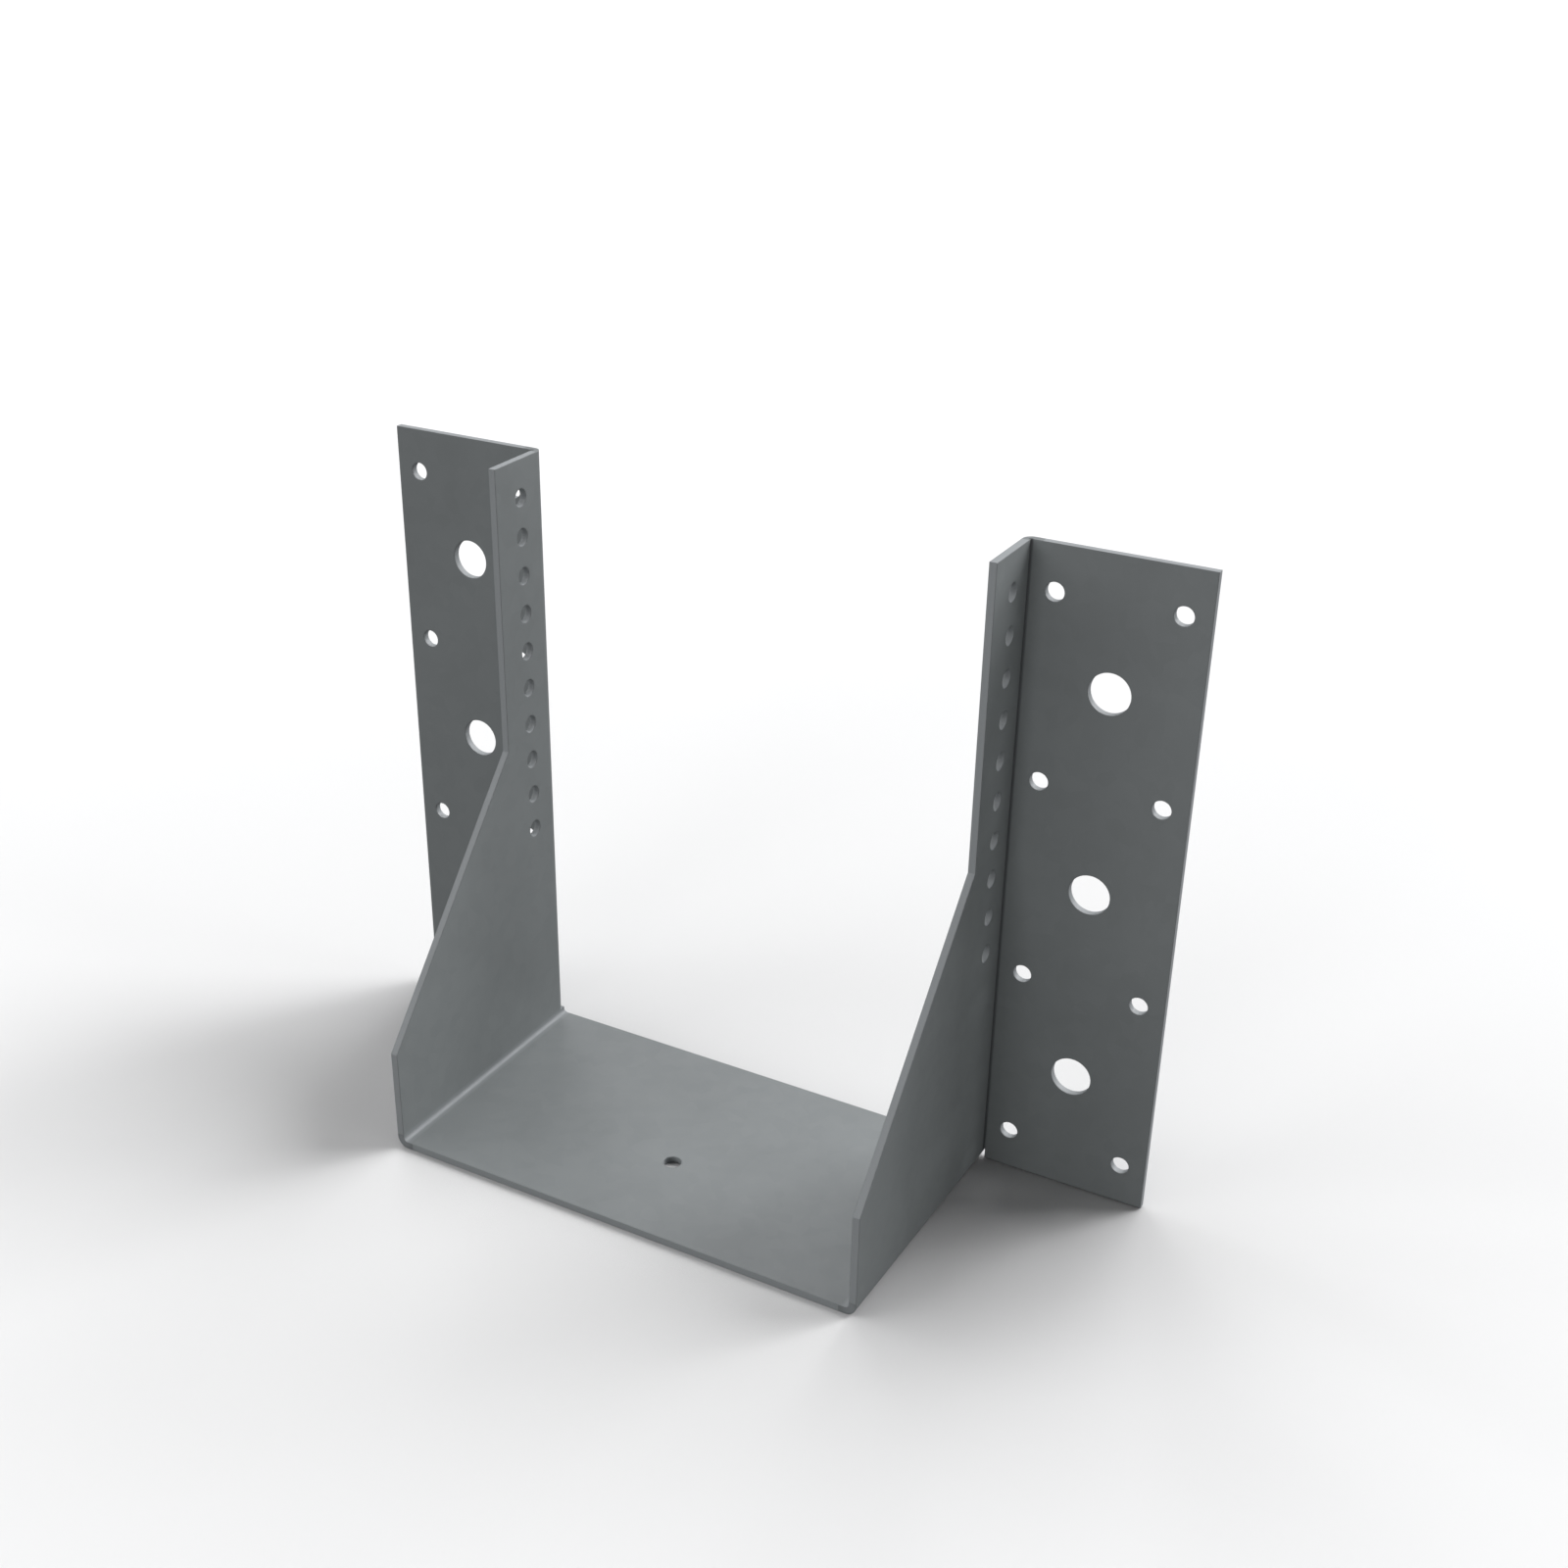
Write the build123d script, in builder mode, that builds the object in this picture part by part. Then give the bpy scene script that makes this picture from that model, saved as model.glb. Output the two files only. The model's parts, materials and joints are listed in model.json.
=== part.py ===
"""Joist hanger folded from one steel sheet (u bracket), millimetres.

Origin: middle of the underside. +X is to the right along the header that carries
the hanger, -Y points out along the joist, +Z is up.
"""

from build123d import *
import os

os.makedirs("parts", exist_ok=True)

# Driving sizes: the sheet, and the joist it carries
thickness = 2.0
joist_width = 140.0
height = 180.0
seat_depth = 80.0
seat_bend_radius = 1.2  # inside radius, both long edges of the seat
flange_bend_radius = 0.5  # inside radius, side to flange

# Side outline: short upright front edge, slope, then a narrow upright strip
front_edge_height = 30.5
slope_top_height = 99.0
strip_depth = 22.0

# Nailing flanges
flange_width = 46.0  # outer face of the side to the flange's free edge
flange_bottom_gap = 0.5  # the flange ends this far above the underside
relief_gap = 0.5  # notch left free between the seat bend and the flange bend

# Nail holes
nail_hole_diameter = 5.0
nail_column_margin = 7.0  # columns to the side's outer face and to the free edge
nail_row_margin = 12.0  # end rows to the top and to the underside
nail_row_step = 50.0  # end rows to the next ones
strip_hole_count = 10
strip_hole_spacing = 11.0
strip_hole_margin = 10.5  # highest hole to the top
seat_hole_from_front = 30.0

# Bolt holes, in a column up the middle of each flange
bolt_hole_diameter = 11.0
bolt_hole_count = 3
bolt_hole_spacing = 55.0

# Places worked out from the sizes
inner_half = joist_width / 2
outer_half = inner_half + thickness
flange_edge = outer_half + flange_width
flange_start = outer_half + flange_bend_radius
front_y = -seat_depth / 2
back_y = seat_depth / 2
strip_front_y = back_y - strip_depth
strip_hole_y = back_y - strip_depth / 2
strip_hole_middle = height - strip_hole_margin - (strip_hole_count - 1) * strip_hole_spacing / 2
seat_bend_outer = seat_bend_radius + thickness
flange_bend_outer = flange_bend_radius + thickness
relief_top = seat_bend_outer + relief_gap
nail_columns = (outer_half + nail_column_margin, flange_edge - nail_column_margin)
bolt_column = sum(nail_columns) / 2
nail_row_spacings = (height - 2 * nail_row_margin, height - 2 * (nail_row_margin + nail_row_step))

with BuildPart() as u_bracket:
    # The sheet folded up into a channel, seen from the front
    with BuildSketch(Plane.XZ):
        with BuildLine():
            outer_face = FilletPolyline(
                (-outer_half, height),
                (-outer_half, 0),
                (outer_half, 0),
                (outer_half, height),
                radius=seat_bend_outer,
            )
            inner_face = FilletPolyline(
                (inner_half, height),
                (inner_half, thickness),
                (-inner_half, thickness),
                (-inner_half, height),
                radius=seat_bend_radius,
            )
            Line(outer_face @ 1, inner_face @ 0)
            Line(inner_face @ 1, outer_face @ 0)
        make_face()
    extrude(amount=seat_depth / 2, both=True)

    # Outline of the two sides; above the relief they stop where the flange bends start
    with BuildSketch(Plane.YZ):
        with BuildLine():
            Polyline(
                (front_y, 0),
                (front_y, front_edge_height),
                (strip_front_y, slope_top_height),
                (strip_front_y, height),
                (back_y - flange_bend_outer, height),
                (back_y - flange_bend_outer, relief_top),
                (back_y, relief_top),
                (back_y, 0),
                close=True,
            )
        make_face()
    extrude(amount=outer_half, both=True, mode=Mode.INTERSECT)

    # Bends from the sides into the flanges, seen from above
    with BuildSketch(Plane.XY.offset(relief_top)):
        with BuildLine():
            bend_back = JernArc(
                start=(inner_half, back_y - flange_bend_outer),
                tangent=(0, 1),
                radius=flange_bend_outer,
                arc_size=-90,
            )
            bend_front = JernArc(
                start=(outer_half, back_y - flange_bend_outer),
                tangent=(0, 1),
                radius=flange_bend_radius,
                arc_size=-90,
            )
            Line(bend_back @ 0, bend_front @ 0)
            Line(bend_back @ 1, bend_front @ 1)
        make_face()
        mirror(about=Plane.YZ)
    extrude(amount=height - relief_top)

    # Flat of the flanges
    with BuildSketch(Plane.XZ.offset(-back_y)):
        for side in (-1, 1):
            with Locations((side * (flange_start + flange_edge) / 2, flange_bottom_gap)):
                Rectangle(
                    flange_edge - flange_start,
                    height - flange_bottom_gap,
                    align=(Align.CENTER, Align.MIN),
                )
    extrude(amount=thickness)

    # Nail and bolt holes of the flanges, set out from the middle of their height
    flange_front = Plane.XZ.offset(thickness - back_y)
    with Locations(flange_front.location * Location((0, height / 2))):
        for column in nail_columns:
            for row_spacing in nail_row_spacings:
                with GridLocations(2 * column, row_spacing, 2, 2):
                    Hole(nail_hole_diameter / 2, depth=thickness)
        with GridLocations(2 * bolt_column, bolt_hole_spacing, 2, bolt_hole_count):
            Hole(bolt_hole_diameter / 2, depth=thickness)

    # Nail holes for the joist, straight through both sides
    side_face = Plane.YZ.offset(outer_half)
    with Locations(side_face.location * Location((strip_hole_y, strip_hole_middle))):
        with GridLocations(0, strip_hole_spacing, 1, strip_hole_count):
            Hole(nail_hole_diameter / 2, depth=2 * outer_half)

    # Nail hole in the seat
    with Locations((0, front_y + seat_hole_from_front, thickness)):
        Hole(nail_hole_diameter / 2, depth=thickness)

u_bracket.part.label = "u_bracket"
export_step(u_bracket.part, "parts/u_bracket.step")
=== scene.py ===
"""Looks, floor, light and camera for the joist hanger. Metres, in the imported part's own frame.

Origin: middle of the underside. +X is to the right along the header that carries the
hanger, -Y points out along the joist, +Z is up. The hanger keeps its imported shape.
"""

import bpy
import json
import math
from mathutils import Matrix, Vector


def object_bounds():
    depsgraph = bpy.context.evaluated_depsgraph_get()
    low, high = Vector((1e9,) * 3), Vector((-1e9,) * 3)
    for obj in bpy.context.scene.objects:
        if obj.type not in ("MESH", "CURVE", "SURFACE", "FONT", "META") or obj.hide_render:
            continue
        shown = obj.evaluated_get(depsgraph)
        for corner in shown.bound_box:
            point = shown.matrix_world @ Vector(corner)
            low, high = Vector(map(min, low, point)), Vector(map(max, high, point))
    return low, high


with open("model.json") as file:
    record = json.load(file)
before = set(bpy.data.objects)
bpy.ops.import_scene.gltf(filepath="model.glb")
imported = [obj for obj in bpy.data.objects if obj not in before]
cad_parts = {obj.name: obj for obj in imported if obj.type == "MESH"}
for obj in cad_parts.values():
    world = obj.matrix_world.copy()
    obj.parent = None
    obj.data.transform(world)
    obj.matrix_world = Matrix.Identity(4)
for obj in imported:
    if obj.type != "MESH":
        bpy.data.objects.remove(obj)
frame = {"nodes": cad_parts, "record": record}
cad_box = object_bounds()

NODE = "u_bracket"

# Camera: where it stands, the side it stands on (degrees from the front towards +X), its height angle
CAMERA_PLACE = Vector((0.2418, -0.4000, 0.3374))
CAMERA_AZIMUTH = 30.63
CAMERA_ELEVATION = 28.23
CAMERA_SENSOR = 36.0
CAMERA_LENS = 46.72
CAMERA_SHIFT = (0.0495, 0.0601)
CAMERA_REACH = (0.01, 50.0)

# Light: soft and far away, mostly from behind. Azimuth, elevation, strength
LIGHTS = {
    "back_right_low": (150, 25, 1.3),
    "back_right": (135, 45, 1.4),
    "back": (180, 45, 1.0),
    "back_left": (225, 45, 0.6),
    "left": (270, 45, 0.6),
    "left_front_low": (300, 25, 0.4),
    "front_left": (315, 45, 0.4),
    "front_low": (0, 8, 1.0),
    "right_low": (90, 8, 0.8),
}
LIGHT_SPREAD = 28.0
LIGHT_TINT = (1.0, 0.99, 1.02)

# Floor: its white far out, its painted shade near the part and under overhangs, and how little light it
# returns
FLOOR_HALF_SIDE = 8.0
FLOOR_WHITE = (0.89, 0.90, 0.88)
FLOOR_CLOSE_SHADED = (0.78, 0.79, 0.77)
FLOOR_FADE = (0.10, 0.60)
FLOOR_SHADE = (0.52, 0.52, 0.52)
FLOOR_SHADE_REACH = 0.25
FLOOR_SHADE_SAMPLES = 2
FLOOR_BOUNCE = (0.16, 0.16, 0.16)

# Zinc coat, linear colours: faint clouds a few centimetres wide, spangle a few millimetres wide
ZINC_DARK = (0.192, 0.209, 0.207)
ZINC_LIGHT = (0.227, 0.247, 0.245)
CLOUDS_PER_METRE = 28.0
CLOUD_TONES = (0.1, 0.7)
SPANGLES_PER_METRE = 260.0
SPANGLE_TONE = 0.25

# Painted light and shade: highlight on edges, light on cut edges and hole walls, highlight along the
# seat's bends, shade in the flanges' folds
EDGE_HIGHLIGHT_ZINC = (0.270, 0.290, 0.292)
EDGE_ROUNDING = 0.0004
EDGE_SAMPLES = 3
EDGE_TURN = 0.8
EDGE_HIGHLIGHT_AMOUNT = 0.6
CUT_LIT_ZINC = (0.315, 0.338, 0.340)
BEND_HIGHLIGHT_ZINC = (0.255, 0.275, 0.278)
FOLD_PAINTED_SHADE = (0.060, 0.066, 0.068)

# Surface: uneven gloss over a few millimetres, and a grain finer than half a millimetre
GLOSS_PATCHES_PER_METRE = 160.0
ROUGHNESS = (0.46, 0.56)
GRAINS_PER_METRE = 2400.0
GRAIN_STRENGTH = 0.12
GRAIN_HEIGHT = 0.00005
NOISE_RANGE = (0.3, 0.7)

# Where the sheet lies, from the record's named faces
MOUNTS = {mount["name"]: Vector(mount["pos_m"]) for mount in frame["record"]["mounts"]}
SHEET = MOUNTS["seat_top"].z - MOUNTS["seat_underside"].z
SEAT_MIDDLE = MOUNTS["seat_top"].z - SHEET / 2
SIDE_MIDDLE = MOUNTS["right_side_inner"].x + SHEET / 2
FLANGE_MIDDLE = MOUNTS["right_flange_back"].y - SHEET / 2
INSIDE_SHEET = 0.48 * SHEET
BEND_BAND = (0.7 * SHEET, 1.2 * SHEET)
FOLD_BAND = (0.12 * SHEET, 0.4 * SHEET)


def towards(azimuth, elevation):
    """Unit vector from the part towards a point at these angles, in degrees."""
    a, e = math.radians(azimuth), math.radians(elevation)
    return Vector((math.sin(a) * math.cos(e), -math.cos(a) * math.cos(e), math.sin(e)))


def place(name, data, location, facing):
    """Links a new object for data at location, with its -Z along facing, and returns it."""
    item = bpy.data.objects.new(name, data)
    item.location = location
    item.rotation_mode = "QUATERNION"
    item.rotation_quaternion = facing.to_track_quat("-Z", "Y")
    bpy.context.scene.collection.objects.link(item)
    return item


def make_camera():
    """The scene's camera, looking down at the hanger from its front right."""
    data = bpy.data.cameras.new("camera")
    data.sensor_width = CAMERA_SENSOR
    data.lens = CAMERA_LENS
    data.shift_x, data.shift_y = CAMERA_SHIFT
    data.clip_start, data.clip_end = CAMERA_REACH
    view = -towards(CAMERA_AZIMUTH, CAMERA_ELEVATION)
    bpy.context.scene.camera = place("camera", data, CAMERA_PLACE, view)


def make_lights():
    """Soft sun lamps all round."""
    for name, (azimuth, elevation, strength) in LIGHTS.items():
        data = bpy.data.lights.new(name, "SUN")
        data.energy = strength
        data.angle = math.radians(LIGHT_SPREAD)
        data.color = LIGHT_TINT
        source = towards(azimuth, elevation)
        place(name, data, source, -source)


def make_world():
    """White where the camera sees past the floor, dark as a source of light."""
    world = bpy.data.worlds.new("studio")
    bpy.context.scene.world = world
    world.use_nodes = True
    nodes, links = world.node_tree.nodes, world.node_tree.links
    background = nodes["Background"]
    background.inputs["Color"].default_value = (1.0, 1.0, 1.0, 1.0)
    path = nodes.new("ShaderNodeLightPath")
    links.new(path.outputs["Is Camera Ray"], background.inputs["Strength"])


class Nodes:
    """Short calls for building a material's node tree."""

    def __init__(self, material):
        material.use_nodes = True
        self.nodes = material.node_tree.nodes
        self.links = material.node_tree.links
        self.shader = self.nodes["Principled BSDF"]

    def add(self, kind, **values):
        """A new node with these properties."""
        node = self.nodes.new(kind)
        for key, value in values.items():
            setattr(node, key, value)
        return node

    def join(self, source, target):
        """Links an output to an input."""
        self.links.new(source, target)

    def noise(self, where, scale, detail):
        """Cloudy noise between nought and one."""
        node = self.add("ShaderNodeTexNoise")
        node.inputs["Scale"].default_value = scale
        node.inputs["Detail"].default_value = detail
        self.join(where, node.inputs["Vector"])
        return node.outputs["Fac"]

    def remap(self, value, low, high, to_low, to_high):
        """Carries low to to_low and high to to_high, and holds the ends."""
        node = self.add("ShaderNodeMapRange")
        names = ("From Min", "From Max", "To Min", "To Max")
        for name, number in zip(names, (low, high, to_low, to_high)):
            node.inputs[name].default_value = number
        self.join(value, node.inputs["Value"])
        return node.outputs["Result"]

    def blend(self, factor, first, second):
        """First where the factor is nought, second where it is one. Each is a colour or an output."""
        node = self.add("ShaderNodeMix", data_type="RGBA")
        for socket, colour in ((node.inputs["A"], first), (node.inputs["B"], second)):
            if isinstance(colour, tuple):
                socket.default_value = (*colour, 1.0)
            else:
                self.join(colour, socket)
        self.join(factor, node.inputs["Factor"])
        return node.outputs["Result"]

    def maths(self, operation, *values):
        """A Math node's result. Each value is a number or an output."""
        node = self.add("ShaderNodeMath", operation=operation)
        for socket, value in zip(node.inputs, values):
            if isinstance(value, (int, float)):
                socket.default_value = value
            else:
                self.join(value, socket)
        return node.outputs["Value"]

    def both(self, first, second):
        """One where both masks are one."""
        return self.maths("MULTIPLY", first, second)


def make_floor():
    """White floor with painted shade softly darkening it close to the part; it gives little light back.
    """
    mesh = bpy.data.meshes.new("floor")
    r, z = FLOOR_HALF_SIDE, cad_box[0].z
    mesh.from_pydata([(-r, -r, z), (r, -r, z), (r, r, z), (-r, r, z)], [], [(0, 1, 2, 3)])
    floor = bpy.data.objects.new("floor", mesh)
    bpy.context.scene.collection.objects.link(floor)
    mesh.materials.append(make_floor_white())


def make_floor_white():
    """Matt white with painted shade, by the distance from the part and by how much of the space above
    is open.
    """
    material = bpy.data.materials.new("floor")
    tree = Nodes(material)
    tree.shader.inputs["Roughness"].default_value = 1.0
    tree.shader.inputs["Specular IOR Level"].default_value = 0.0
    openness = tree.add("ShaderNodeAmbientOcclusion", samples=FLOOR_SHADE_SAMPLES)
    openness.inputs["Distance"].default_value = FLOOR_SHADE_REACH
    away = tree.add("ShaderNodeVectorMath", operation="LENGTH")
    tree.join(tree.add("ShaderNodeTexCoord").outputs["Object"], away.inputs[0])
    fade = tree.remap(away.outputs["Value"], *FLOOR_FADE, 0.0, 1.0)
    # painted shade: the floor's colour darkens close to the part and fades out with distance
    seen = tree.blend(fade, FLOOR_CLOSE_SHADED, FLOOR_WHITE)
    # painted shade: darker where the ambient occlusion finds the part close above
    seen = tree.blend(openness.outputs["AO"], FLOOR_SHADE, seen)
    path = tree.add("ShaderNodeLightPath")
    seen = tree.blend(path.outputs["Is Camera Ray"], FLOOR_BOUNCE, seen)
    tree.join(seen, tree.shader.inputs["Base Color"])
    return material


def zinc_coat(tree, where):
    """Colour of the plain coat: clouds with spangle over them."""
    clouds = tree.remap(tree.noise(where, CLOUDS_PER_METRE, 3.0), *NOISE_RANGE, *CLOUD_TONES)
    cells = tree.add("ShaderNodeTexVoronoi", feature="F1")
    cells.inputs["Scale"].default_value = SPANGLES_PER_METRE
    tree.join(where, cells.inputs["Vector"])
    cell = tree.add("ShaderNodeSeparateColor")
    tree.join(cells.outputs["Color"], cell.inputs["Color"])
    spangle = tree.maths("MULTIPLY", cell.outputs["Red"], SPANGLE_TONE)
    return tree.blend(tree.maths("ADD", clouds, spangle), ZINC_DARK, ZINC_LIGHT)


def edge_mask(tree, rounded_normal):
    """How far the normal rounded over an edge turns from the face's own."""
    face = tree.add("ShaderNodeNewGeometry")
    turn = tree.add("ShaderNodeVectorMath", operation="DOT_PRODUCT")
    tree.join(rounded_normal, turn.inputs[0])
    tree.join(face.outputs["True Normal"], turn.inputs[1])
    return tree.remap(turn.outputs["Value"], 1.0, EDGE_TURN, 0.0, EDGE_HIGHLIGHT_AMOUNT)


def cut_mask(tree, across, y, z):
    """One on sheared edges and hole walls: points that lie inside the sheet's thickness."""
    side = tree.both(
        tree.maths("COMPARE", across, SIDE_MIDDLE, INSIDE_SHEET),
        tree.maths("LESS_THAN", y, FLANGE_MIDDLE - SHEET),
    )
    side = tree.both(side, tree.maths("GREATER_THAN", z, SEAT_MIDDLE + 1.5 * SHEET))
    flange = tree.both(
        tree.maths("COMPARE", y, FLANGE_MIDDLE, INSIDE_SHEET),
        tree.maths("GREATER_THAN", across, SIDE_MIDDLE + 2 * SHEET),
    )
    seat = tree.both(
        tree.maths("COMPARE", z, SEAT_MIDDLE, INSIDE_SHEET),
        tree.maths("LESS_THAN", across, SIDE_MIDDLE - 2 * SHEET),
    )
    return tree.maths("MAXIMUM", tree.maths("MAXIMUM", side, flange), seat)


def line_mask(tree, first, second, corner, band):
    """Fades across the band from one to nought, by the distance from a line through the corner."""
    point = tree.add("ShaderNodeCombineXYZ")
    tree.join(first, point.inputs["X"])
    tree.join(second, point.inputs["Y"])
    away = tree.add("ShaderNodeVectorMath", operation="DISTANCE")
    tree.join(point.outputs["Vector"], away.inputs[0])
    away.inputs[1].default_value = (*corner, 0.0)
    return tree.remap(away.outputs["Value"], *band, 1.0, 0.0)


def painted_light_coat(tree, where, rounded_normal):
    """Colour of the coat with painted light and shade: paler at edges, cuts and seat bends as painted
    highlight and light, dark in the folds as painted shade.
    """
    xyz = tree.add("ShaderNodeSeparateXYZ")
    tree.join(where, xyz.inputs["Vector"])
    across = tree.maths("ABSOLUTE", xyz.outputs["X"])
    y, z = xyz.outputs["Y"], xyz.outputs["Z"]
    seat_corner = (SIDE_MIDDLE - SHEET / 2, SEAT_MIDDLE + SHEET / 2)
    fold_corner = (SIDE_MIDDLE + SHEET / 2, FLANGE_MIDDLE - SHEET / 2)
    # painted highlight: paler colour where the rounded normal turns over an edge
    colour = tree.blend(edge_mask(tree, rounded_normal), zinc_coat(tree, where), EDGE_HIGHLIGHT_ZINC)
    # painted light: paler colour on cut edges and hole walls
    colour = tree.blend(cut_mask(tree, across, y, z), colour, CUT_LIT_ZINC)
    # painted highlight: paler band along the seat's inner bends
    colour = tree.blend(line_mask(tree, across, z, seat_corner, BEND_BAND), colour, BEND_HIGHLIGHT_ZINC)
    # painted shade: dark band in the concave fold between each side and its flange
    return tree.blend(line_mask(tree, across, y, fold_corner, FOLD_BAND), colour, FOLD_PAINTED_SHADE)


def grained_normal(tree, where, rounded_normal):
    """The rounded normal, roughened by the coat's grain."""
    bump = tree.add("ShaderNodeBump")
    bump.inputs["Strength"].default_value = GRAIN_STRENGTH
    bump.inputs["Distance"].default_value = GRAIN_HEIGHT
    tree.join(tree.noise(where, GRAINS_PER_METRE, 2.0), bump.inputs["Height"])
    tree.join(rounded_normal, bump.inputs["Normal"])
    return bump.outputs["Normal"]


def make_steel():
    """Matt zinc coat on rolled steel sheet."""
    material = bpy.data.materials.new("galvanised_steel")
    tree = Nodes(material)
    where = tree.add("ShaderNodeTexCoord").outputs["Object"]
    bevel = tree.add("ShaderNodeBevel", samples=EDGE_SAMPLES)
    bevel.inputs["Radius"].default_value = EDGE_ROUNDING
    rounded_normal = bevel.outputs["Normal"]
    gloss = tree.remap(tree.noise(where, GLOSS_PATCHES_PER_METRE, 2.0), *NOISE_RANGE, *ROUGHNESS)
    tree.join(painted_light_coat(tree, where, rounded_normal), tree.shader.inputs["Base Color"])
    tree.join(gloss, tree.shader.inputs["Roughness"])
    tree.join(grained_normal(tree, where, rounded_normal), tree.shader.inputs["Normal"])
    return material


bpy.context.scene.view_settings.view_transform = "Standard"
make_camera()
make_world()
make_lights()
make_floor()
steel = make_steel()
for slot in frame["nodes"][NODE].material_slots:
    slot.material = steel
